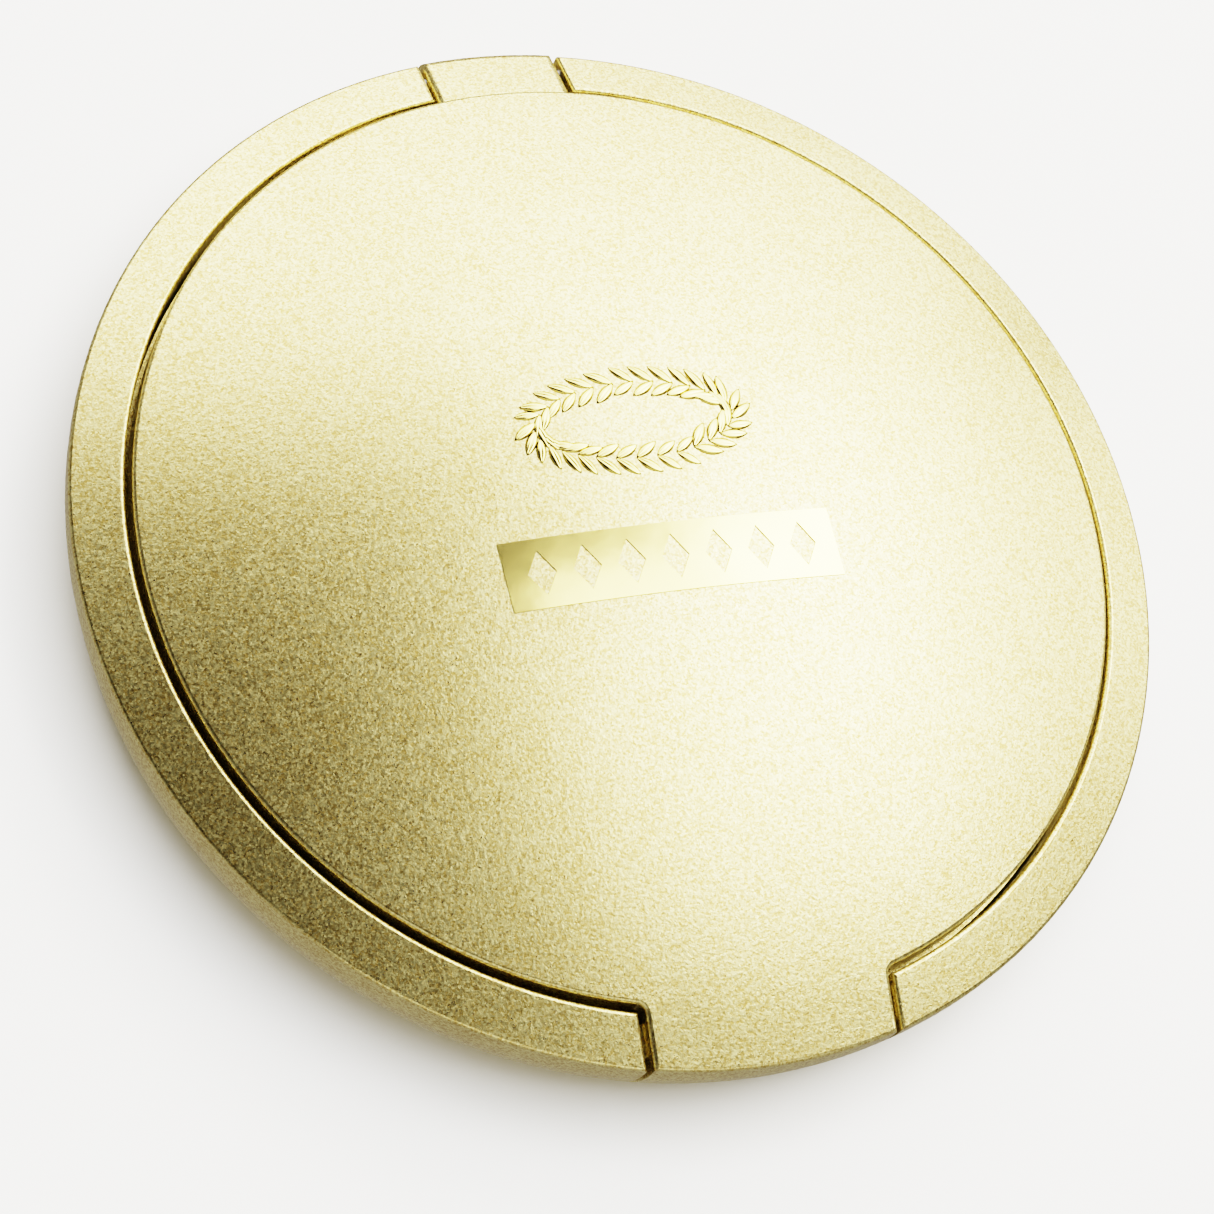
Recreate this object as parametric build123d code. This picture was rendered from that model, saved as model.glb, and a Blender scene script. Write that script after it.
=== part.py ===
"""Round powder compact: a domed lid that drops into the rim of a shallow bowl-shaped base.

The frame is +Z up with the compact lying closed on its flat foot. The origin is the centre of the
foot. +Y points to the hinge and -Y to the thumb tab. All sizes are in millimetres.
"""
from build123d import *
from math import atan2, cos, degrees, pi, sin, sqrt
import os

# ---- driving dimensions -------------------------------------------------------------------------
OUTER_R = 50.0            # outside of the rim
HEIGHT = 20.0             # foot to the crown of the lid
DOME_R = 155.0            # sphere that the lid's face lies on
LID_PROUD = 0.4           # the lid's face stands this far above the rim's face
SIDE_R = 14.8             # the side wall curls in under the rim with this radius
WALL = 1.8                # wall of the base bowl
FLOOR = 1.6               # floor of the base bowl

RIM_HOLE_R = 45.35        # inside of the rim, round the lid
LID_R = 44.85             # outside of the lid's round part
LID_WALL = 1.5            # wall of the lid cover
SKIRT_WALL = 1.25         # the cover's skirt, round the lid frame
SKIRT_BOTTOM = 10.6

TAB_HALF = 11.3           # half the width of the thumb tab
TAB_SLOT_HALF = 11.85     # half the width of the tab's slot in the rim
TAB_BOTTOM = 5.0          # the tab's apron ends here
TAB_SLOT_FLOOR = 4.6

KNUCKLE_HALF = 6.5        # half the length of the hinge knuckle
HINGE_SLOT_HALF = 6.86    # half the width of the hinge slot in the rim
HINGE_Y = 47.8
HINGE_Z = 10.6
BARREL_R = 2.5
HINGE_SLOT_FLOOR = HINGE_Z - BARREL_R - 0.35
KNUCKLE_INNER_R = 45.0    # the knuckle's face towards the lid cover
KNUCKLE_OUTER_R = 50.3    # it stands a little proud of the rim
PIN_R = 0.6
PIN_REACH = 10.2          # how far from the middle the pins' outer ends are
PIN_LENGTH = 6.6
RUNNING_GAP = 0.06        # radial gap of the pins in the knuckle
SEAT_GAP = 0.01           # radial gap of the pins in the rim

FRAME_BOTTOM = 9.4        # underside of the lid frame, round the mirror
FRAME_TOP = 12.0
FLANGE_R = 43.9
MIRROR_R = 39.0
MIRROR_GAP = 0.2
MIRROR_FACE = 9.6
MIRROR_T = 1.4
TAPE_T = 0.3

DECK_R = 45.1             # outside of the deck
DECK_TOP = 9.1
DECK_T = 1.2
WELL_R = 38.6             # hole that the pan drops into
WELL_FLOOR = 3.8
PAN_R = 38.3
PAN_T = 0.4
GLUE_T = 0.3
PAN_TOP = 8.9

CAKE_EDGE_Z = 8.3         # face of the pressed powder, at the pan's wall
CAKE_CROWN = 0.45         # and its rise in the middle
PUSH_HOLE_R = 4.0         # hole in the deck for pushing an empty pan out
RIB_R = (15.0, 33.0)      # ribs that carry the well's floor
RIB_T = 1.2

FOOT_EDGE_R = 1.2
RIM_EDGE_R = 0.36         # rounding of the rim's edges
LID_EDGE_R = 0.38         # rounding of the lid's edges
KNUCKLE_EDGE_R = 0.85
LABEL_R = 31.0
LABEL_T = 0.12
LABEL_RECESS = 0.3

CATCH_HALF = 6.0          # half the width of the snap catch
CATCH_FOOT = 5.6          # lower end of its plate
CATCH_Z = (7.3, 8.3)      # its ridge
CATCH_DEPTH = 0.6
HOOK_GAP = 0.2            # the hook's bead passes the catch with this gap
HOOK_BACK_Y = -47.0
HOOK_BOTTOM = 6.2
HOOK_BEAD_Z = (6.3, 7.0)

REAR_RELIEF_R = (3.9, 5.8)     # the lid's rear edge is cut back to swing past the rim's inner edge
REAR_RELIEF_LENGTH = 9.0
NECK_IN_Y = 42.0          # the neck joins the frame here
NECK_BOTTOM = 8.9
NECK_TOP = 11.7
NECK_GAP = 0.3            # between the neck and the notch in the deck
TAB_CORE_Y = -47.2        # the frame fills the tab from the skirt out to here
TAB_LEDGE = 0.3           # and shows as a narrow step along the tab's sides
TAB_LEDGE_Y = -44.5       # from here outwards
TAB_CORNER_R = 0.9        # inner corner between the tab and the lid's round part

PLAQUE_HALF_X = 15.6      # foil bar on the lid
PLAQUE_Y = (-9.2, -2.8)
LOZENGE_HALF = (1.3, 2.1)      # openings in the bar
LOZENGE_PITCH = 4.1
LOZENGES = 7
FOIL_T = 0.08
GARLAND_Y = 7.4           # oval garland of leaves above the bar
GARLAND_HALF = (9.3, 3.8)
GARLAND_PAIRS = 26
LEAF_LENGTH = 2.7
LEAF_WIDTH = 0.95
LEAF_LEAN = 34            # degrees between a leaf and the garland's line

# ---- worked out from them -----------------------------------------------------------------------
LID_CENTRE_Z = HEIGHT - DOME_R                    # centre of the lid's sphere
RIM_CENTRE_Z = LID_CENTRE_Z - LID_PROUD           # centre of the rim's sphere
SIDE_CENTRE_R = OUTER_R - SIDE_R
SKIRT_IN_R = LID_R - SKIRT_WALL
PAN_BOTTOM = WELL_FLOOR + GLUE_T


def sphere_z(r, sphere_r, centre_z):
    """Height of a sphere's upper side at distance r from the axis."""
    return centre_z + sqrt(sphere_r**2 - r**2)


RIM_EDGE_Z = sphere_z(OUTER_R, DOME_R, RIM_CENTRE_Z)


def side_radius(z, curl_r=SIDE_R):
    """Distance of the curled side wall from the axis at height z."""
    return SIDE_CENTRE_R + sqrt(curl_r**2 - (RIM_EDGE_Z - z)**2)


def side_height(r, curl_r):
    """Height of the curled side wall at distance r from the axis."""
    return RIM_EDGE_Z - sqrt(curl_r**2 - (r - SIDE_CENTRE_R)**2)


def dome_arc(r1, r2, sphere_r, centre_z):
    """Arc of a sphere's section from distance r1 to r2."""
    return ThreePointArc(*[(r, 0, sphere_z(r, sphere_r, centre_z)) for r in (r1, (r1 + r2) / 2, r2)])


def side_arc(z1, z2, curl_r=SIDE_R):
    """Arc of the curled side wall's section from height z1 to z2."""
    return ThreePointArc(*[(side_radius(z, curl_r), 0, z) for z in (z1, (z1 + z2) / 2, z2)])


def line(p, q):
    """Straight edge of a section between two (r, z) points."""
    return Line((p[0], 0, p[1]), (q[0], 0, q[1]))


def turned(*edges):
    """Solid of revolution about Z of the section that the edges close."""
    return revolve(make_face(edges), Axis.Z)


def ring(r_in, r_out, z1, z2):
    """Plain flat ring, or a disc if r_in is 0."""
    body = Pos(0, 0, (z1 + z2) / 2) * Cylinder(r_out, z2 - z1)
    if r_in > 0:
        body -= Pos(0, 0, (z1 + z2) / 2) * Cylinder(r_in, 2 * (z2 - z1))
    return body


def block(x, y, z):
    """Box between two limits on each axis."""
    return Pos(sum(x) / 2, sum(y) / 2, sum(z) / 2) * Box(x[1] - x[0], y[1] - y[0], z[1] - z[0])


def rod(r, x1, x2, y=HINGE_Y, z=HINGE_Z):
    """Cylinder along X, by default on the hinge axis."""
    return Pos((x1 + x2) / 2, y, z) * Rot(0, 90, 0) * Cylinder(r, x2 - x1)


def round_face_edges(part, faces, radius):
    """Round every edge that bounds the given faces."""
    edges = ShapeList()
    for face in faces:
        edges += face.outer_wire().edges()
    return fillet(edges, radius)


# ---- base ---------------------------------------------------------------------------------------
def base_shell():
    """Bowl and rim in one moulding, with slots in the rim for the hinge knuckle and the tab."""
    inner_curl = SIDE_R - WALL
    foot_r = side_radius(0)
    inner_foot_r = side_radius(FLOOR, inner_curl)
    rim_in_z = sphere_z(RIM_HOLE_R, DOME_R, RIM_CENTRE_Z)
    ledge_z = side_height(RIM_HOLE_R, inner_curl)
    shell = turned(
        line((0, 0), (foot_r, 0)),
        side_arc(0, RIM_EDGE_Z),
        dome_arc(OUTER_R, RIM_HOLE_R, DOME_R, RIM_CENTRE_Z),
        line((RIM_HOLE_R, rim_in_z), (RIM_HOLE_R, ledge_z)),
        side_arc(ledge_z, FLOOR, inner_curl),
        line((inner_foot_r, FLOOR), (0, FLOOR)),
        line((0, FLOOR), (0, 0)),
    )
    foot_edge = shell.edges().filter_by(GeomType.CIRCLE).sort_by(Axis.Z)[0]
    shell = fillet(foot_edge, FOOT_EDGE_R)
    shell -= block((-HINGE_SLOT_HALF, HINGE_SLOT_HALF), (44, 52), (HINGE_SLOT_FLOOR, 20))
    shell -= block((-TAB_SLOT_HALF, TAB_SLOT_HALF), (-52, -43), (TAB_SLOT_FLOOR, 20))
    shell -= rod(PIN_R + SEAT_GAP, -PIN_REACH - 0.1, PIN_REACH + 0.1)
    shell -= ring(0, LABEL_R + 0.4, -1, LABEL_RECESS)
    rim_faces = shell.faces().filter_by(GeomType.SPHERE)
    return round_face_edges(shell, rim_faces, RIM_EDGE_R)


def base_label():
    """Blank self-adhesive label in the shallow recess under the foot."""
    return ring(0, LABEL_R, LABEL_RECESS - LABEL_T, LABEL_RECESS)


def base_deck():
    """Inner tray: a flat deck round the well that holds the pan, on a skirt and two ribs."""
    well_out_r = WELL_R + DECK_T
    skirt_in_r = DECK_R - DECK_T
    skirt_bottom = side_height(DECK_R, SIDE_R - WALL) + 0.15
    well_bottom = WELL_FLOOR - DECK_T
    deck = ring(WELL_R, DECK_R, DECK_TOP - DECK_T, DECK_TOP)
    deck += ring(skirt_in_r, DECK_R, skirt_bottom, DECK_TOP - DECK_T)
    deck += ring(WELL_R, well_out_r, well_bottom, DECK_TOP - DECK_T)
    deck += ring(0, WELL_R, well_bottom, WELL_FLOOR)
    for rib_r in RIB_R:
        deck += ring(rib_r, rib_r + RIB_T, FLOOR, well_bottom)
    notch_half = KNUCKLE_HALF + NECK_GAP
    deck -= block((-notch_half, notch_half), (NECK_IN_Y - NECK_GAP, 46), (NECK_BOTTOM - NECK_GAP, 20))
    deck -= ring(0, PUSH_HOLE_R, 0, WELL_FLOOR + 1)
    well_edge = deck.edges().filter_by(GeomType.CIRCLE).filter_by_position(
        Axis.Z, DECK_TOP - 0.01, DECK_TOP + 0.01).sort_by(SortBy.RADIUS)[0]
    return fillet(well_edge, 0.3)


def pan_glue():
    """Three flat dots of hot-melt glue between the pan and the deck."""
    dots = Part()
    for turn in range(3):
        dots += Rot(0, 0, 30 + 120 * turn) * Pos(22, 0, WELL_FLOOR + GLUE_T / 2) * Cylinder(5, GLUE_T)
    return dots


def powder_pan():
    """Pressed aluminium pan with a rolled-soft lower edge."""
    pan = ring(0, PAN_R, PAN_BOTTOM, PAN_TOP)
    lower_edge = pan.edges().filter_by(GeomType.CIRCLE).sort_by(Axis.Z)[0]
    pan = fillet(lower_edge, 0.9)
    return pan - ring(0, PAN_R - PAN_T, PAN_BOTTOM + PAN_T, PAN_TOP + 1)


def powder_cake():
    """Pressed powder that fills the pan, with a softly domed face."""
    cake_r = PAN_R - PAN_T
    crown_z = CAKE_EDGE_Z + CAKE_CROWN
    face_r = (cake_r**2 + CAKE_CROWN**2) / (2 * CAKE_CROWN)
    bottom = PAN_BOTTOM + PAN_T
    return turned(
        line((0, bottom), (cake_r, bottom)),
        line((cake_r, bottom), (cake_r, CAKE_EDGE_Z)),
        dome_arc(cake_r, 0, face_r, crown_z - face_r),
        line((0, crown_z), (0, bottom)),
    )


def hinge_pins():
    """Two steel stub pins, held in the rim's ends, that the knuckle turns on."""
    right = rod(PIN_R, PIN_REACH - PIN_LENGTH, PIN_REACH)
    right = chamfer(right.edges().filter_by(GeomType.CIRCLE), 0.12)
    return Part() + right + mirror(right, Plane.YZ)


def catch_plate():
    """Snap catch: a plate on the deck's skirt in the tab's slot, with a ridge along it."""
    back = -DECK_R
    plate = block((-CATCH_HALF, CATCH_HALF), (back - CATCH_DEPTH / 2, -43.6), (CATCH_FOOT, CATCH_Z[1]))
    plate += block((-CATCH_HALF + 0.8, CATCH_HALF - 0.8), (back - CATCH_DEPTH, -43.6), CATCH_Z)
    return plate - ring(0, DECK_R, 0, HEIGHT)


# ---- lid ----------------------------------------------------------------------------------------
def envelope(offset):
    """Solid inside the lid's sphere and the curled side, both moved in by offset."""
    curl_r = SIDE_R - offset
    top_r = SIDE_CENTRE_R + curl_r
    low_z = TAB_BOTTOM - 2 * offset
    bowl = turned(
        line((0, low_z), (side_radius(low_z, curl_r), low_z)),
        side_arc(low_z, RIM_EDGE_Z, curl_r),
        line((top_r, RIM_EDGE_Z), (top_r, HEIGHT + 1)),
        line((top_r, HEIGHT + 1), (0, HEIGHT + 1)),
        line((0, HEIGHT + 1), (0, low_z)),
    )
    return bowl & Pos(0, 0, LID_CENTRE_Z) * Sphere(DOME_R - offset)


def lid_cover():
    """Domed outer cover, with the thumb tab that runs out through the rim and down the side."""
    hollow = envelope(LID_WALL)
    outline = ring(0, LID_R, SKIRT_BOTTOM, HEIGHT + 1)
    outline += block((-TAB_HALF, TAB_HALF), (-52, -40), (TAB_BOTTOM - 1, HEIGHT + 1))
    inner_corners = outline.edges().filter_by(Axis.Z).filter_by_position(Axis.Y, -44, -42)
    inner_corners = inner_corners.filter_by(lambda e: e.center().Z > SKIRT_BOTTOM)
    outline = fillet(inner_corners, TAB_CORNER_R)
    cover = envelope(0) & outline
    apron_room = block((-TAB_HALF - 1, TAB_HALF + 1), (-OUTER_R, -SKIRT_IN_R + 2.6), (0, HEIGHT))
    cover -= hollow & (ring(0, SKIRT_IN_R, 0, HEIGHT) + apron_room)
    cover -= ring(0, LID_R + 0.01, 0, SKIRT_BOTTOM)
    for side in (-1, 1):
        relief = Cone(REAR_RELIEF_R[0], REAR_RELIEF_R[1], REAR_RELIEF_LENGTH)
        middle = KNUCKLE_HALF + REAR_RELIEF_LENGTH / 2
        cover -= Pos(side * middle, HINGE_Y, HINGE_Z) * Rot(0, side * 90, 0) * relief
    cover -= block((-KNUCKLE_HALF, KNUCKLE_HALF), (40, 46), (SKIRT_BOTTOM - 1, NECK_TOP))
    face = cover.faces().filter_by(GeomType.SPHERE).sort_by(Axis.Z)[-1]
    return round_face_edges(cover, [face], LID_EDGE_R)


def knuckle_section():
    """Hinge knuckle's section across its length, from the neck to the rounded back."""
    barrel = rod(BARREL_R, -KNUCKLE_HALF, KNUCKLE_HALF)
    body = block((-KNUCKLE_HALF, KNUCKLE_HALF), (44.5, HINGE_Y), (NECK_BOTTOM, HEIGHT))
    body += block((-KNUCKLE_HALF, KNUCKLE_HALF), (44.5, KNUCKLE_OUTER_R), (HINGE_Z, HEIGHT))
    body += barrel
    body &= Pos(0, 0, RIM_CENTRE_Z) * Sphere(DOME_R)
    body &= ring(0, KNUCKLE_OUTER_R, 0, HEIGHT)
    body -= ring(0, KNUCKLE_INNER_R, NECK_TOP, HEIGHT + 1)
    return body


def lid_frame():
    """Inner lid moulding: mirror seat, tab core, neck and hinge knuckle."""
    recess_r = MIRROR_R + MIRROR_GAP
    recess_top = MIRROR_FACE + MIRROR_T + TAPE_T
    frame = ring(0, SKIRT_IN_R, SKIRT_BOTTOM, FRAME_TOP)
    frame += ring(0, FLANGE_R, FRAME_BOTTOM, SKIRT_BOTTOM)
    frame -= ring(0, recess_r, 0, recess_top)
    core = block((-TAB_HALF, TAB_HALF), (TAB_CORE_Y, -40), (FRAME_BOTTOM, FRAME_TOP))
    ledge_half = TAB_HALF + TAB_LEDGE
    core += block((-ledge_half, ledge_half), (TAB_CORE_Y, TAB_LEDGE_Y), (FRAME_BOTTOM, FRAME_TOP))
    core &= envelope(LID_WALL)
    core -= ring(0, SKIRT_IN_R, 0, HEIGHT)
    frame += core
    knuckle = knuckle_section()
    top_edges = knuckle.faces().filter_by(GeomType.SPHERE)[0].outer_wire().edges()
    knuckle = fillet(top_edges.sort_by(Axis.Y)[1:], KNUCKLE_EDGE_R)
    neck = block((-KNUCKLE_HALF, KNUCKLE_HALF), (NECK_IN_Y, 45.5), (NECK_BOTTOM, NECK_TOP))
    neck -= ring(0, SKIRT_IN_R - 0.5, SKIRT_BOTTOM, HEIGHT)
    frame += neck + knuckle
    return frame - rod(PIN_R + RUNNING_GAP, -KNUCKLE_HALF - 1, KNUCKLE_HALF + 1)


def mirror_disc():
    """Round silvered glass mirror with a bevelled face edge."""
    glass = ring(0, MIRROR_R, MIRROR_FACE, MIRROR_FACE + MIRROR_T)
    face_edge = glass.edges().filter_by(GeomType.CIRCLE).sort_by(Axis.Z)[0]
    return chamfer(face_edge, 0.35, 0.9)


def mirror_tape():
    """Ring of double-sided tape between the mirror and the lid frame."""
    top = MIRROR_FACE + MIRROR_T + TAPE_T
    return ring(24, MIRROR_R - 2, top - TAPE_T, top)


def latch_hook():
    """Flexible snap hook that hangs under the tab, with a bead that passes the catch."""
    bead_face = -DECK_R - CATCH_DEPTH - HOOK_GAP
    half = CATCH_HALF - 1.4
    hook = block((-half, half), (HOOK_BACK_Y, bead_face - 0.5), (HOOK_BOTTOM, FRAME_BOTTOM))
    hook += block((-half, half), (HOOK_BACK_Y, bead_face), HOOK_BEAD_Z)
    return hook


def on_dome(outline):
    """Thin skin of foil on the lid's face inside an outline that is extruded through it."""
    skin = Pos(0, 0, LID_CENTRE_Z) * Sphere(DOME_R + FOIL_T)
    skin -= Pos(0, 0, LID_CENTRE_Z) * Sphere(DOME_R)
    return skin & extrude(Pos(0, 0, HEIGHT - 3) * outline, 5)


def foil_plaque():
    """Plain polished foil bar across the lid, with a row of lozenges left open in it."""
    height = PLAQUE_Y[1] - PLAQUE_Y[0]
    bar = Pos(0, sum(PLAQUE_Y) / 2) * Rectangle(2 * PLAQUE_HALF_X, height)
    half_x, half_y = LOZENGE_HALF
    for step in range(LOZENGES):
        x = (step - (LOZENGES - 1) / 2) * LOZENGE_PITCH
        lozenge = Polygon((half_x, 0), (0, half_y), (-half_x, 0), (0, -half_y))
        bar -= Pos(x, sum(PLAQUE_Y) / 2) * lozenge
    return on_dome(bar)


def leaf(length, width):
    """Pointed leaf outline along +X, from its foot at the origin."""
    tip = (length, 0)
    upper = ThreePointArc((0, 0), (length / 2, width / 2), tip)
    lower = ThreePointArc(tip, (length / 2, -width / 2), (0, 0))
    return make_face([upper, lower])


def foil_spray():
    """Open oval garland of plain foil leaves, in pairs that lean out and in along its line."""
    leaves = Sketch()
    half_x, half_y = GARLAND_HALF
    for step in range(GARLAND_PAIRS):
        angle = (step + 0.5) * 2 * pi / GARLAND_PAIRS
        heading = degrees(atan2(half_y * cos(angle), -half_x * sin(angle)))
        for lean in (LEAF_LEAN, -LEAF_LEAN):
            spot = Pos(half_x * cos(angle), GARLAND_Y + half_y * sin(angle))
            leaves += spot * Rot(0, 0, heading + lean) * leaf(LEAF_LENGTH, LEAF_WIDTH)
    return on_dome(leaves)


NODES = {
    "base_shell": base_shell,
    "base_label": base_label,
    "base_deck": base_deck,
    "pan_glue": pan_glue,
    "powder_pan": powder_pan,
    "powder_cake": powder_cake,
    "hinge_pins": hinge_pins,
    "catch_plate": catch_plate,
    "lid_cover": lid_cover,
    "lid_frame": lid_frame,
    "mirror": mirror_disc,
    "mirror_tape": mirror_tape,
    "latch_hook": latch_hook,
    "foil_plaque": foil_plaque,
    "foil_spray": foil_spray,
}

os.makedirs("parts", exist_ok=True)
for node, make in NODES.items():
    shape = make()
    export_step(shape, f"parts/{node}.step")
    print(node, round(shape.volume, 2), "mm3")
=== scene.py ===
from math import cos, pi, sin, tau

import bmesh
import bpy
from mathutils import Matrix, Vector


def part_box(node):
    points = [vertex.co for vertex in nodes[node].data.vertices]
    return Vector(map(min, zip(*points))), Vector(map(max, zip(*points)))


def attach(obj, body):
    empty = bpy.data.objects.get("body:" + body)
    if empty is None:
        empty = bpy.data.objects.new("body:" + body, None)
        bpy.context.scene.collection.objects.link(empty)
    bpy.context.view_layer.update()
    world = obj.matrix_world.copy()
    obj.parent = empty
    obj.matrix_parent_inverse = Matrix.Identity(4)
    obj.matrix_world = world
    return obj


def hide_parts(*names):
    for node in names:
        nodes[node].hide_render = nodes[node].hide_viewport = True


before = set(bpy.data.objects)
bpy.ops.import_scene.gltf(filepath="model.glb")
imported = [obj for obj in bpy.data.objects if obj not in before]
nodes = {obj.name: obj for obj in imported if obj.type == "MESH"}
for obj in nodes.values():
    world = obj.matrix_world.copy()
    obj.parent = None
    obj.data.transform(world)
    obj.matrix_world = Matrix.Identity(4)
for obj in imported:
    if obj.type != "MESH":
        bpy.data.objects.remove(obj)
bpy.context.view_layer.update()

MM = 0.001


# ---- base shell, deck, lid cover and lid frame ----------------------------------------------------
# ABS mouldings, sprayed with a champagne metallic lacquer: fine aluminium flake in a warm tinted
# binder under a thin satin clear coat, so the colour is soft, deep and finely grained.
FLAKE_MM = 0.17           # drawn coarser than real flake, so that it shows
GRAIN_MM = 0.34           # flakes that lie together
CLOUD_MM = 9.0            # slow drift in the spray's thickness


def linear(hex_colour):
    """Linear RGBA of an sRGB hex colour."""
    parts = [int(hex_colour[i:i + 2], 16) / 255 for i in (1, 3, 5)]
    return (*[c / 12.92 if c <= 0.04045 else ((c + 0.055) / 1.055) ** 2.4 for c in parts], 1.0)


def wire(node, inputs):
    """Sets each input to a value, or links it to an output or to a node's first output."""
    for name, value in inputs.items():
        if isinstance(value, bpy.types.Node):
            value = value.outputs[0]
        if isinstance(value, bpy.types.NodeSocket):
            node.id_data.links.new(value, node.inputs[name])
        else:
            node.inputs[name].default_value = value


def add(tree, kind, inputs=None, stops=(), **settings):
    """A node with its settings, its colour stops and its inputs."""
    node = tree.nodes.new(kind)
    for name, value in settings.items():
        setattr(node, name, value)
    if stops:
        for stop, (position, colour) in zip(node.color_ramp.elements, stops):
            stop.position = position
            stop.color = linear(colour)
    wire(node, inputs or {})
    return node


def new_material(name):
    """An empty material with its node tree, object coordinates and surface shader."""
    material = bpy.data.materials.new(name)
    material.use_nodes = True
    tree = material.node_tree
    tree.nodes.clear()
    place = add(tree, "ShaderNodeTexCoord").outputs["Object"]
    shader = add(tree, "ShaderNodeBsdfPrincipled")
    add(tree, "ShaderNodeOutputMaterial", {"Surface": shader})
    return material, tree, place, shader


def dress(node_name, material):
    """Puts one material on a CAD node."""
    mesh = nodes[node_name].data
    mesh.materials.clear()
    mesh.materials.append(material)


def champagne_lacquer():
    """Each flake has its own tint and gloss, and the grain also stands up a little."""
    material, tree, place, shader = new_material("champagne metallic lacquer, sprayed on ABS")
    flake = add(tree, "ShaderNodeTexVoronoi", {"Vector": place, "Scale": 1 / (FLAKE_MM * MM)})
    flake = add(tree, "ShaderNodeSeparateColor", {"Color": flake.outputs["Color"]})
    grain = add(tree, "ShaderNodeTexNoise", {
        "Vector": place, "Scale": 1 / (GRAIN_MM * MM), "Detail": 2.0, "Roughness": 0.75})
    cloud = add(tree, "ShaderNodeTexNoise", {
        "Vector": place, "Scale": 1 / (CLOUD_MM * MM), "Detail": 3.0, "Roughness": 0.5})
    tint = add(tree, "ShaderNodeMath", {0: flake, 1: 0.5}, operation="MULTIPLY")
    tint = add(tree, "ShaderNodeMath", {0: grain, 1: 0.8, 2: tint}, operation="MULTIPLY_ADD")
    tint = add(tree, "ShaderNodeMath", {0: cloud, 1: 0.14, 2: tint}, operation="MULTIPLY_ADD")
    wire(shader, {
        "Base Color": add(tree, "ShaderNodeValToRGB", {"Fac": tint},
                          stops=((0.46, "#CAAF69"), (0.95, "#FFF4B2"))),
        "Metallic": 1.0,
        "Roughness": add(tree, "ShaderNodeMapRange", {
            "Value": flake.outputs["Green"], "To Min": 0.27, "To Max": 0.40}),
        "Normal": add(tree, "ShaderNodeBump", {
            "Height": grain, "Strength": 0.5, "Distance": 0.05 * MM}),
        "Coat Weight": 0.2,
        "Coat Roughness": 0.25,
    })
    return material


lacquer = champagne_lacquer()
for name in ("base_shell", "base_deck", "lid_cover", "lid_frame"):
    dress(name, lacquer)


# ---- label under the foot -------------------------------------------------------------------------
# Blank white polypropylene film, 0.12 mm thick, stuck in the shallow recess under the foot. It is
# satin, with the slight ripple of stuck film.
RIPPLE_MM = 4.0


def label_film():
    material, tree, place, shader = new_material("white polypropylene label film")
    ripple = add(tree, "ShaderNodeTexNoise", {
        "Vector": place, "Scale": 1 / (RIPPLE_MM * MM), "Detail": 2.0, "Roughness": 0.6})
    wire(shader, {
        "Base Color": linear("#F2F1EC"),
        "Roughness": 0.42,
        "IOR": 1.5,
        "Normal": add(tree, "ShaderNodeBump", {
            "Height": ripple, "Strength": 0.3, "Distance": 0.03 * MM}),
    })
    return material


dress("base_label", label_film())


# ---- glue dots under the pan ----------------------------------------------------------------------
# Three dots of milky hot-melt glue, pressed flat between the deck and the pan. They are slightly
# see-through, with the soft unevenness of glue that set under a load.
GLUE_LUMP_MM = 2.0


def hot_melt():
    material, tree, place, shader = new_material("hot-melt glue, pressed flat")
    lumps = add(tree, "ShaderNodeTexNoise", {
        "Vector": place, "Scale": 1 / (GLUE_LUMP_MM * MM), "Detail": 2.0, "Roughness": 0.6})
    wire(shader, {
        "Base Color": linear("#E9DFC0"),
        "Roughness": 0.32,
        "IOR": 1.48,
        "Subsurface Weight": 0.35,
        "Subsurface Scale": 1.5 * MM,
        "Normal": add(tree, "ShaderNodeBump", {
            "Height": lumps, "Strength": 0.4, "Distance": 0.05 * MM}),
    })
    return material


dress("pan_glue", hot_melt())


# ---- pan for the powder ---------------------------------------------------------------------------
# Bright aluminium sheet, drawn to a shallow pan. The tool leaves fine turning rings, so its wall
# and rim catch the light in thin lines.
RING_MM = 0.35            # pitch of the rings, drawn coarser than real ones


def drawn_aluminium():
    material, tree, place, shader = new_material("aluminium sheet, drawn")
    flat = add(tree, "ShaderNodeVectorMath", {0: place, 1: (1.0, 1.0, 0.0)}, operation="MULTIPLY")
    radius = add(tree, "ShaderNodeVectorMath", {0: flat}, operation="LENGTH")
    rings = add(tree, "ShaderNodeTexNoise", {
        "W": radius.outputs["Value"], "Scale": 1 / (RING_MM * MM), "Detail": 3.0,
    }, noise_dimensions="1D")
    wire(shader, {
        "Base Color": linear("#D6D6D8"),
        "Metallic": 1.0,
        "Roughness": add(tree, "ShaderNodeMapRange", {
            "Value": rings, "To Min": 0.22, "To Max": 0.38}),
        "Normal": add(tree, "ShaderNodeBump", {
            "Height": rings, "Strength": 0.25, "Distance": 0.02 * MM}),
    })
    return material


dress("powder_pan", drawn_aluminium())


# ---- pressed powder -------------------------------------------------------------------------------
# Warm bronzing powder, pressed in the pan under a die that leaves a plain raised rosette between
# two grooves. It is matt and finely granular, and its outer edge lies below the pan's rim.
cake_low, cake_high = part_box("powder_cake")
CAKE_R = cake_high.x / MM - 0.02         # these are in millimetres, with a hair's gap to the pan
CAKE_BOTTOM = cake_low.z / MM + 0.05
CAKE_CROWN = 0.45
CAKE_EDGE = cake_high.z / MM - CAKE_CROWN
BEVEL = 0.5               # softened outer edge
BEVEL_DROP = 0.25
GROOVES = (9.5, 33.8)     # radii of the two grooves
GROOVE_HALF = 0.7
GROOVE_DEPTH = 0.4
BUTTON_R = (6.6, 7.4)     # raised middle, from its flat top to the foot of its edge
BUTTON_RISE = 0.2
PETALS = 14
PETAL_FROM, PETAL_TO = 11.5, 31.5
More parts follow.
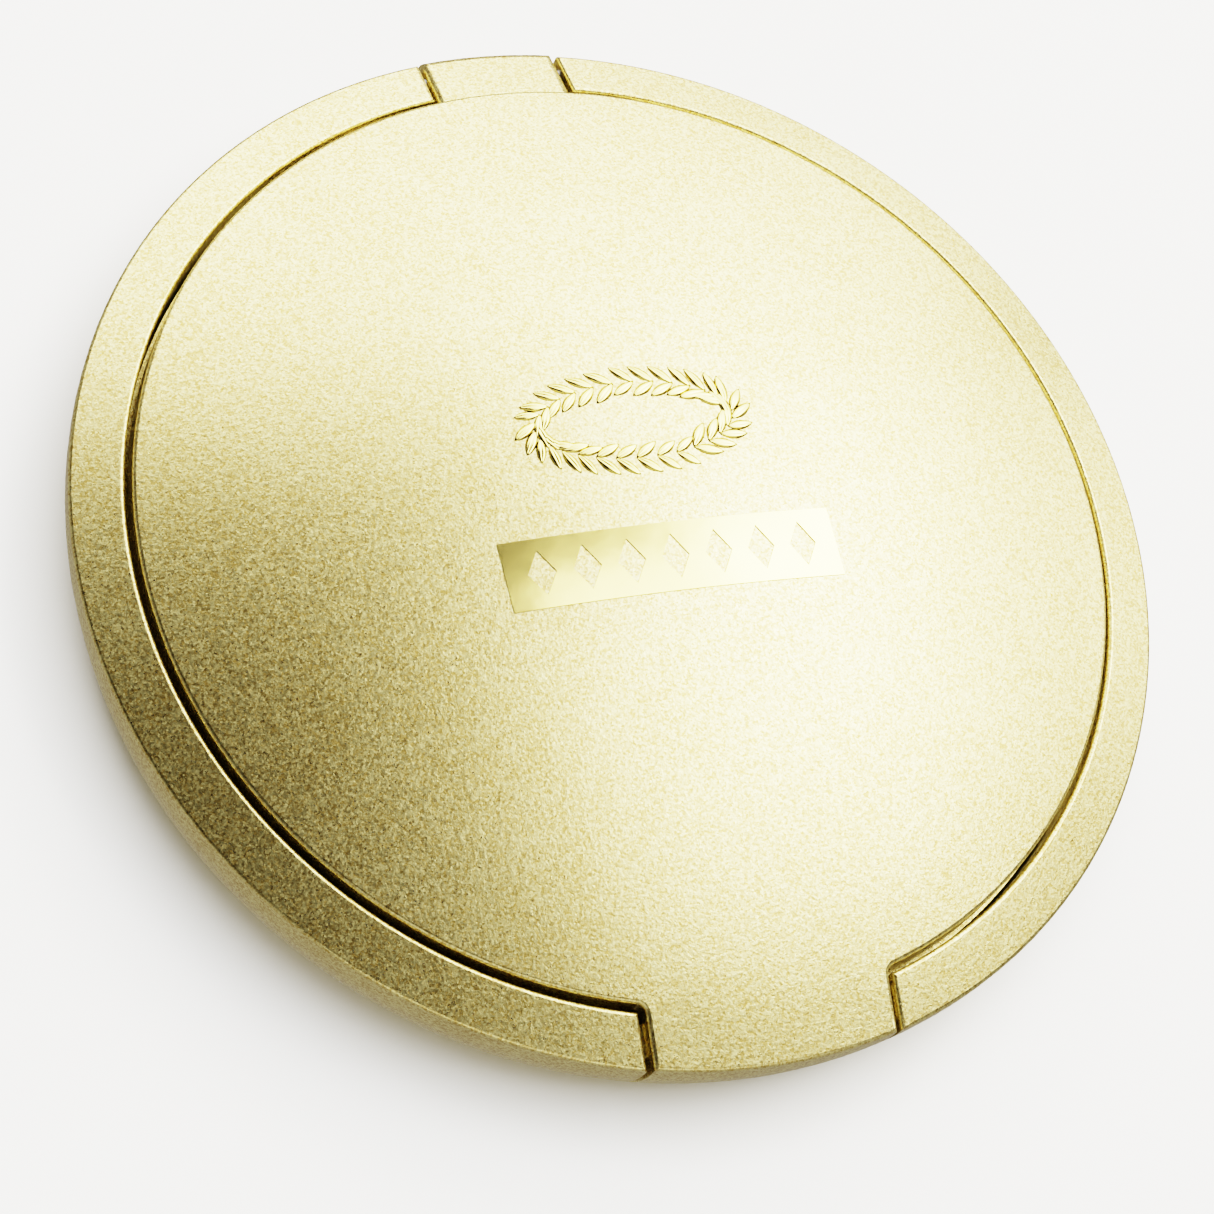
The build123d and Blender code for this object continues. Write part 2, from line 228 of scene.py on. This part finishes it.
PETAL_HALF = 0.43         # half a petal's width, in pitches between petals
PETAL_SKEW = 0.8          # under 1, so a petal is widest nearer its foot
PETAL_LAYERS = ((0.0, 1.0, 1.0), (0.5, 0.86, 0.55))    # turn in pitches, reach and height
PETAL_EDGE = (0.04, 0.02)      # the edge's width inside and outside the outline, in pitches
VEIN_SPREAD = 0.6         # half a vein's width in pitches, times the radius
VEIN_DEPTH = 0.45         # of the petal's height
VEIN_FADE = (0.05, 0.2)   # half widths of the petal, from no vein to the whole of it
ROSETTE_RISE = 0.45
CAKE_ROUND = 30 * PETALS  # faces round, the same for each petal
CAKE_STEP = 0.33          # and their length outwards
POWDER_GRAIN_MM = 0.35    # drawn coarser than real grains
POWDER_DRIFT_MM = 7.0     # uneven pressing


def step(value, low, high):
    """Smooth step from 0 below low to 1 above high."""
    t = min(max((value - low) / (high - low), 0.0), 1.0)
    return t * t * (3 - 2 * t)


def rosette(r, angle):
    """Rise of the petals at a polar position, from 0 to 1."""
    rise = 0.0
    for turn, reach, level in PETAL_LAYERS:
        along = (r - PETAL_FROM) / (reach * (PETAL_TO - PETAL_FROM))
        if 0 < along < 1:
            off = abs((angle * PETALS / tau + turn + 0.5) % 1.0 - 0.5)
            half = PETAL_HALF * sin(pi * along ** PETAL_SKEW)
            petal = 1 - step(off, half - PETAL_EDGE[0], half + PETAL_EDGE[1])
            vein = (1 - step(off, 0.0, VEIN_SPREAD / r)) * step(half, *VEIN_FADE)
            rise = max(rise, level * (petal - VEIN_DEPTH * vein))
    return rise


def cake_height(r, angle):
    """Height of the pressed face at a polar position."""
    z = CAKE_EDGE + CAKE_CROWN * (1 - (r / CAKE_R) ** 2)
    for groove in GROOVES:
        z -= GROOVE_DEPTH * (1 - step(abs(r - groove), 0.0, GROOVE_HALF))
    z += ROSETTE_RISE * rosette(r, angle)
    z += BUTTON_RISE * (1 - step(r, *BUTTON_R))
    return z - BEVEL_DROP * step(r, CAKE_R - BEVEL, CAKE_R)


def smooth_mesh(name, body):
    """A smooth-shaded object of a closed bmesh, with its faces pointing outwards."""
    bmesh.ops.recalc_face_normals(body, faces=body.faces)
    mesh = bpy.data.meshes.new(name)
    body.to_mesh(mesh)
    body.free()
    mesh.polygons.foreach_set("use_smooth", [True] * len(mesh.polygons))
    piece = bpy.data.objects.new(name, mesh)
    bpy.context.scene.collection.objects.link(piece)
    return piece


def pressed_cake():
    """Closed cake: rings of points from the middle out, then down to a flat bottom."""
    body = bmesh.new()
    count = round(CAKE_R / CAKE_STEP)
    rings = []
    for i in range(1, count + 1):
        r = CAKE_R * i / count
        ring = []
        for j in range(CAKE_ROUND):
            angle = tau * j / CAKE_ROUND
            spot = (r * cos(angle), r * sin(angle), cake_height(r, angle))
            ring.append(body.verts.new([side * MM for side in spot]))
        rings.append(ring)
    rings.append([body.verts.new((v.co.x, v.co.y, CAKE_BOTTOM * MM)) for v in rings[-1]])
    middle = body.verts.new((0, 0, cake_height(0, 0) * MM))
    for j in range(CAKE_ROUND):
        k = (j + 1) % CAKE_ROUND
        body.faces.new((middle, rings[0][j], rings[0][k]))
        for inner, outer in zip(rings, rings[1:]):
            body.faces.new((inner[j], outer[j], outer[k], inner[k]))
    body.faces.new(rings[-1])
    return smooth_mesh("pressed_cake", body)


def bronzing_powder():
    material, tree, place, shader = new_material("bronzing powder, pressed")
    grain = add(tree, "ShaderNodeTexNoise", {
        "Vector": place, "Scale": 1 / (POWDER_GRAIN_MM * MM), "Detail": 4.0, "Roughness": 0.8})
    drift = add(tree, "ShaderNodeTexNoise", {
        "Vector": place, "Scale": 1 / (POWDER_DRIFT_MM * MM), "Detail": 2.0, "Roughness": 0.6})
    tint = add(tree, "ShaderNodeMath", {0: drift, 1: 0.15, 2: grain}, operation="MULTIPLY_ADD")
    wire(shader, {
        "Base Color": add(tree, "ShaderNodeValToRGB", {"Fac": tint},
                          stops=((0.34, "#74452B"), (0.80, "#A06A46"))),
        "Roughness": 0.88,
        "IOR": 1.5,
        "Sheen Weight": 0.15,
        "Normal": add(tree, "ShaderNodeBump", {
            "Height": grain, "Strength": 0.6, "Distance": 0.05 * MM}),
    })
    return material


cake = pressed_cake()
cake.data.materials.append(bronzing_powder())
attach(cake, "base")
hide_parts("powder_cake")


# ---- hinge pins -----------------------------------------------------------------------------------
# Two ground steel stub pins, pushed into the rim's ends and greased, so they look dull and dark in
# the narrow gap beside the knuckle.
GRINDING_MM = 0.12        # drawn coarser than real grinding marks


def greased_steel():
    material, tree, place, shader = new_material("ground steel pin, greased")
    marks = add(tree, "ShaderNodeTexNoise", {
        "Vector": place, "Scale": 1 / (GRINDING_MM * MM), "Detail": 2.0, "Roughness": 0.6})
    wire(shader, {
        "Base Color": linear("#8C8C8F"),
        "Metallic": 1.0,
        "Roughness": 0.42,
        "Normal": add(tree, "ShaderNodeBump", {
            "Height": marks, "Strength": 0.2, "Distance": 0.01 * MM}),
    })
    return material


dress("hinge_pins", greased_steel())


# ---- catch plate and latch hook -------------------------------------------------------------------
# Both are moulded in natural acetal. The catch is snapped into the deck's skirt, and the hook is
# under the tab. The plastic is milky, with a satin skin from the mould.
MOULD_SKIN_MM = 0.5


def natural_acetal():
    material, tree, place, shader = new_material("natural acetal, moulded")
    skin = add(tree, "ShaderNodeTexNoise", {
        "Vector": place, "Scale": 1 / (MOULD_SKIN_MM * MM), "Detail": 2.0, "Roughness": 0.6})
    wire(shader, {
        "Base Color": linear("#E9E5D9"),
        "Roughness": 0.34,
        "IOR": 1.48,
        "Subsurface Weight": 0.2,
        "Subsurface Scale": 1.0 * MM,
        "Normal": add(tree, "ShaderNodeBump", {
            "Height": skin, "Strength": 0.2, "Distance": 0.02 * MM}),
    })
    return material


acetal = natural_acetal()
dress("catch_plate", acetal)
dress("latch_hook", acetal)


# ---- mirror ---------------------------------------------------------------------------------------
# Float glass, 1.4 mm, with a ground bevel round its face, silvered and then painted grey on the
# back. Closed, it lies face down: the paint shows near the top, and below it the glass reflects
# sharply, through faint finger smears.
PAINT_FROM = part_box("mirror")[1].z - 0.4 * MM
SMEAR_MM = 14.0


def silvered_glass():
    material, tree, place, shader = new_material("float glass, silvered and painted")
    height = add(tree, "ShaderNodeSeparateXYZ", {"Vector": place}).outputs["Z"]
    paint = add(tree, "ShaderNodeMath", {0: height, 1: PAINT_FROM}, operation="GREATER_THAN")
    smear = add(tree, "ShaderNodeTexNoise", {
        "Vector": place, "Scale": 1 / (SMEAR_MM * MM), "Detail": 4.0, "Roughness": 0.6})
    smear = add(tree, "ShaderNodeMapRange", {"Value": smear, "To Min": 0.006, "To Max": 0.03})
    wire(shader, {
        "Base Color": add(tree, "ShaderNodeValToRGB", {"Fac": paint},
                          stops=((0.0, "#EEF1F0"), (1.0, "#75797C"))),
        "Metallic": add(tree, "ShaderNodeMath", {0: 1.0, 1: paint}, operation="SUBTRACT"),
        "Roughness": add(tree, "ShaderNodeMath", {
            0: paint, 1: 0.5, 2: smear}, operation="MULTIPLY_ADD"),
        "IOR": 1.5,
    })
    return material


dress("mirror", silvered_glass())


# ---- mirror tape ----------------------------------------------------------------------------------
# Ring of white double-sided foam tape between the mirror and the lid frame. Its cut edge is matt
# and open-celled.
CELL_MM = 0.3


def foam_tape():
    material, tree, place, shader = new_material("white foam tape")
    cells = add(tree, "ShaderNodeTexNoise", {
        "Vector": place, "Scale": 1 / (CELL_MM * MM), "Detail": 4.0, "Roughness": 0.6})
    wire(shader, {
        "Base Color": linear("#E4E3DE"),
        "Roughness": 0.9,
        "IOR": 1.5,
        "Normal": add(tree, "ShaderNodeBump", {
            "Height": cells, "Strength": 0.6, "Distance": 0.06 * MM}),
    })
    return material


dress("mirror_tape", foam_tape())


# ---- foil bar on the lid --------------------------------------------------------------------------
# Hot-stamped gold foil, a plain bar with a row of open lozenges. It is mirror-bright, with the
# faint waviness of foil on a sprayed surface.
FOIL_WAVE_MM = 5.0


def stamped_foil():
    material, tree, place, shader = new_material("gold foil, hot-stamped and polished")
    waves = add(tree, "ShaderNodeTexNoise", {
        "Vector": place, "Scale": 1 / (FOIL_WAVE_MM * MM), "Detail": 3.0, "Roughness": 0.6})
    wire(shader, {
        "Base Color": linear("#FFEC92"),
        "Metallic": 1.0,
        "Roughness": 0.16,
        "Normal": add(tree, "ShaderNodeBump", {
            "Height": waves, "Strength": 0.5, "Distance": 0.02 * MM}),
    })
    return material


foil = stamped_foil()
dress("foil_plaque", foil)


# ---- leaf garland on the lid ----------------------------------------------------------------------
# The same foil, stamped as an open oval garland of small plump leaves in pairs. They lie on the
# lid's domed face, and their backs stand about a tenth of a millimetre off it.
garland_low, garland_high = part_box("foil_spray")
LEAF = (2.7 * MM, 1.02 * MM, 0.12 * MM)    # length, width and rise
LEAF_OUTLINE = 0.8        # powers of a half sine, under 1 for a plump outline and back
LEAF_BACK = 0.6
LEAF_SUNK = 0.04 * MM     # its underside lies this far in the lid
LEAF_STEPS = 10
LEAF_TIP_HALF = 0.02 * MM
# Points across a leaf, as parts of half its width and of its rise, with a groove along the midrib.
LEAF_ACROSS = (
    (-1, 0.0), (-0.55, 0.8), (-0.12, 1.0), (0, 0.72), (0.12, 1.0), (0.55, 0.8), (1, 0.0))


def leaf_mesh():
    """One closed leaf along +X, from its foot at the origin."""
    length, width, rise = LEAF
    body = bmesh.new()
    rows = []
    for i in range(LEAF_STEPS + 1):
        t = i / LEAF_STEPS
        half = max(0.5 * width * sin(pi * t) ** LEAF_OUTLINE, LEAF_TIP_HALF)
        crown = rise * sin(pi * t) ** LEAF_BACK if 0 < t < 1 else 0.0
        row = [body.verts.new((length * t, side * half, up * crown)) for side, up in LEAF_ACROSS]
        row.append(body.verts.new((length * t, 0, -LEAF_SUNK)))
        rows.append(row)
    for low, high in zip(rows, rows[1:]):
        for k in range(len(low)):
            n = (k + 1) % len(low)
            body.faces.new((low[k], high[k], high[n], low[n]))
    body.faces.new(rows[0])
    body.faces.new(rows[-1])
    return smooth_mesh("leaf", body)


def garland_tree():
    """Pairs of leaves that lean out and in along an oval, laid on a sphere."""
    tree = bpy.data.node_groups.new("leaf garland", "GeometryNodeTree")
    for name, kind, value in (
        ("Leaf", "Object", None),
        ("Foil", "Material", None),
        ("Pairs", "Int", 30),
        ("Half Width", "Float", 9.3 * MM),
        ("Half Height", "Float", 3.8 * MM),
        ("Forward", "Float", 0.5 * (garland_low.y + garland_high.y)),    # the oval's middle
        ("Lean", "Float", 0.6),                 # between a leaf and the oval's line
        ("Lean Play", "Float", 0.16),           # and how far a leaf may stray from it
        ("Smallest", "Float", 0.88),
        ("Largest", "Float", 1.08),
        ("Dome Radius", "Float", 155.0 * MM),   # sphere of the lid's face
        ("Crown Height", "Float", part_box("lid_cover")[1].z),
        ("Seed", "Int", 5),
    ):
        socket = tree.interface.new_socket(
            name, in_out="INPUT", socket_type="NodeSocket" + kind)
        if value is not None:
            socket.default_value = value
    tree.interface.new_socket(
        "Geometry", in_out="OUTPUT", socket_type="NodeSocketGeometry")
    given = add(tree, "NodeGroupInput").outputs
    leaf = add(tree, "GeometryNodeObjectInfo", {"Object": given["Leaf"]}).outputs["Geometry"]

    # place on the oval, then up to the dome
    turn = add(tree, "ShaderNodeMath", {0: tau, 1: given["Pairs"]}, operation="DIVIDE")
    index = add(tree, "GeometryNodeInputIndex")
    angle = add(tree, "ShaderNodeMath", {0: turn, 1: index}, operation="MULTIPLY")
    cosine = add(tree, "ShaderNodeMath", {0: angle}, operation="COSINE")
    sine = add(tree, "ShaderNodeMath", {0: angle}, operation="SINE")
    x = add(tree, "ShaderNodeMath", {0: given["Half Width"], 1: cosine}, operation="MULTIPLY")
    y = add(tree, "ShaderNodeMath", {
        0: given["Half Height"], 1: sine, 2: given["Forward"]}, operation="MULTIPLY_ADD")
    flat = add(tree, "ShaderNodeCombineXYZ", {"X": x, "Y": y})
    flat_square = add(tree, "ShaderNodeVectorMath", {0: flat, 1: flat}, operation="DOT_PRODUCT")
    dome_square = add(tree, "ShaderNodeMath", {
        0: given["Dome Radius"], 1: given["Dome Radius"]}, operation="MULTIPLY")
    height = add(tree, "ShaderNodeMath", {
        0: dome_square, 1: flat_square.outputs["Value"]}, operation="SUBTRACT")
    height = add(tree, "ShaderNodeMath", {0: height}, operation="SQRT")
    outward = add(tree, "ShaderNodeCombineXYZ", {"X": x, "Y": y, "Z": height})
    dome_centre = add(tree, "ShaderNodeCombineXYZ", {"Z": add(tree, "ShaderNodeMath", {
        0: given["Crown Height"], 1: given["Dome Radius"]}, operation="SUBTRACT")})
    spot = add(tree, "ShaderNodeVectorMath", {0: outward, 1: dome_centre}, operation="ADD")
    points = add(tree, "GeometryNodePoints", {"Count": given["Pairs"], "Position": spot})

    # stand on the dome, headed along the oval
    back = add(tree, "ShaderNodeMath", {0: sine, 1: -1.0}, operation="MULTIPLY")
    heading = add(tree, "ShaderNodeCombineXYZ", {
        "X": add(tree, "ShaderNodeMath", {
            0: given["Half Width"], 1: back}, operation="MULTIPLY"),
        "Y": add(tree, "ShaderNodeMath", {
            0: given["Half Height"], 1: cosine}, operation="MULTIPLY"),
    })
    stand = add(tree, "FunctionNodeAxesToRotation", {
        "Primary Axis": outward, "Secondary Axis": heading}, primary_axis="Z", secondary_axis="X")

    both = add(tree, "GeometryNodeJoinGeometry")
    least_play = add(tree, "ShaderNodeMath", {
        0: given["Lean Play"], 1: -1.0}, operation="MULTIPLY")
    for side in (1.0, -1.0):
        play = add(tree, "FunctionNodeRandomValue", {
            2: least_play, 3: given["Lean Play"], "Seed": given["Seed"]}, data_type="FLOAT")
        lean = add(tree, "ShaderNodeMath", {
            0: given["Lean"], 1: side, 2: play.outputs[1]}, operation="MULTIPLY_ADD")
        turned = add(tree, "FunctionNodeRotateRotation", {
            "Rotation": stand,
            "Rotate By": add(tree, "FunctionNodeAxisAngleToRotation", {"Angle": lean}),
        }, rotation_space="LOCAL")
        size = add(tree, "FunctionNodeRandomValue", {
            2: given["Smallest"], 3: given["Largest"], "Seed": given["Seed"]}, data_type="FLOAT")
        leaves = add(tree, "GeometryNodeInstanceOnPoints", {
            "Points": points, "Instance": leaf, "Rotation": turned, "Scale": size.outputs[1]})
        wire(both, {"Geometry": leaves})
    real = add(tree, "GeometryNodeRealizeInstances", {"Geometry": both})
    done = add(tree, "GeometryNodeSetMaterial", {"Geometry": real, "Material": given["Foil"]})
    add(tree, "NodeGroupOutput", {"Geometry": done})
    return tree


def mesh_from_tree(name, tree, given):
    """A plain mesh object from a geometry tree, with its object and material inputs set."""
    holder = bpy.data.objects.new(name + "_holder", bpy.data.meshes.new(name + "_holder"))
    bpy.context.scene.collection.objects.link(holder)
    modifier = holder.modifiers.new("tree", "NODES")
    modifier.node_group = tree
    for item in tree.interface.items_tree:
        if item.name in given:
            modifier[item.identifier] = given[item.name]
    evaluated = holder.evaluated_get(bpy.context.evaluated_depsgraph_get())
    mesh = bpy.data.meshes.new_from_object(evaluated)
    mesh.name = name
    bpy.data.objects.remove(holder)
    piece = bpy.data.objects.new(name, mesh)
    bpy.context.scene.collection.objects.link(piece)
    return piece


leaf = leaf_mesh()
leaf.data.materials.append(foil)    # or the garland would start with an empty slot
garland = mesh_from_tree("leaf_garland", garland_tree(), {"Leaf": leaf, "Foil": foil})
bpy.data.objects.remove(leaf)
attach(garland, "lid")
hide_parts("foil_spray")


# ---- floor ----------------------------------------------------------------------------------------
# A wide sheet of matt white paper under the foot. It takes the soft shadow, and doesn't show in
# the lacquer.
def paper_floor():
    half = 3.0
    low = -0.05 * MM          # just under the foot
    corners = [(x, y, low) for x, y in ((-half, -half), (half, -half), (half, half), (-half, half))]
    mesh = bpy.data.meshes.new("floor")
    mesh.from_pydata(corners, [], [(0, 1, 2, 3)])
    paper, *unused, shader = new_material("matt white paper")
    wire(shader, {"Base Color": linear("#F6F6F5"), "Roughness": 0.6, "IOR": 1.5})
    mesh.materials.append(paper)
    plane = bpy.data.objects.new("floor", mesh)
    bpy.context.scene.collection.objects.link(plane)
    plane.visible_glossy = False


paper_floor()


# ---- light ----------------------------------------------------------------------------------------
# Four warm soft boxes above, behind and to the right give the lid its broad sheen, and a dim card
# stands in front. A wash from overhead lights the paper and the powder, but doesn't show in metal.
def soft_box(name, towards, distance, size, glow, colour="#FFF8E8", shows_in_gloss=True):
    """A rectangular soft box that faces the compact from a direction, with an even glow."""
    data = bpy.data.lights.new(name, "AREA")
    data.shape = "RECTANGLE"
    data.size, data.size_y = size
    data.energy = pi * size[0] * size[1] * glow
    data.color = linear(colour)[:3]
    light = bpy.data.objects.new(name, data)
    bpy.context.scene.collection.objects.link(light)
    away = Vector(towards).normalized()
    light.location = away * distance
    light.rotation_mode = "QUATERNION"
    light.rotation_quaternion = away.to_track_quat("Z", "Y")
    light.visible_glossy = shows_in_gloss


def studio_air(near_floor, above):
    """Dim room that darkens upwards from the floor's level."""
    world = bpy.data.worlds.new("studio")
    bpy.context.scene.world = world
    world.use_nodes = True
    tree = world.node_tree
    tree.nodes.clear()
    place = add(tree, "ShaderNodeTexCoord").outputs["Generated"]
    height = add(tree, "ShaderNodeSeparateXYZ", {"Vector": place}).outputs["Z"]
    glow = add(tree, "ShaderNodeValToRGB", {"Fac": height},
               stops=((0.0, near_floor), (0.5, above)))
    air = add(tree, "ShaderNodeBackground", {"Color": glow, "Strength": 1.0})
    add(tree, "ShaderNodeOutputWorld", {"Surface": air})


soft_box("main box", (0.47, 0.05, 0.88), 1.0, (0.56, 0.54), 5.4)
soft_box("bridge box", (0.48, 0.42, 0.77), 1.1, (0.50, 0.30), 3.2)
soft_box("back box", (0.28, 0.76, 0.58), 1.1, (1.45, 0.85), 4.0)
soft_box("right box", (0.80, 0.22, 0.55), 1.1, (0.50, 1.10), 2.6)
soft_box("front card", (-0.10, -0.85, 0.50), 1.2, (1.7, 0.6), 1.3)
soft_box("floor wash", (0.0, 0.0, 1.0), 1.3, (1.1, 1.1), 9.0, "#FFFFFF", shows_in_gloss=False)
studio_air("#A49F97", "#232323")
bpy.context.scene.view_settings.view_transform = "Filmic"
bpy.context.scene.view_settings.look = "High Contrast"


# ---- camera ---------------------------------------------------------------------------------------
# Looks down on the front left of the closed compact, and is rolled so that the tab points to the
# lower right.
def rolled_camera(place, right, up, lens_mm):
    """A camera at a place, with its own right and up directions."""
    data = bpy.data.cameras.new("camera")
    data.lens = lens_mm
    data.sensor_width = 36
    data.clip_start, data.clip_end = 0.01, 10
    camera = bpy.data.objects.new("camera", data)
    bpy.context.scene.collection.objects.link(camera)
    x = Vector(right).normalized()
    z = x.cross(Vector(up)).normalized()
    y = z.cross(x)
    turn = Matrix((x, y, z)).transposed().to_4x4()
    camera.matrix_world = Matrix.Translation(place) @ turn
    bpy.context.scene.camera = camera


rolled_camera(
    place=(-0.1553, -0.1512, 0.3486),
    right=(0.9179, -0.2575, 0.3019),
    up=(0.1086, 0.8948, 0.4331),
    lens_mm=134.7,
)
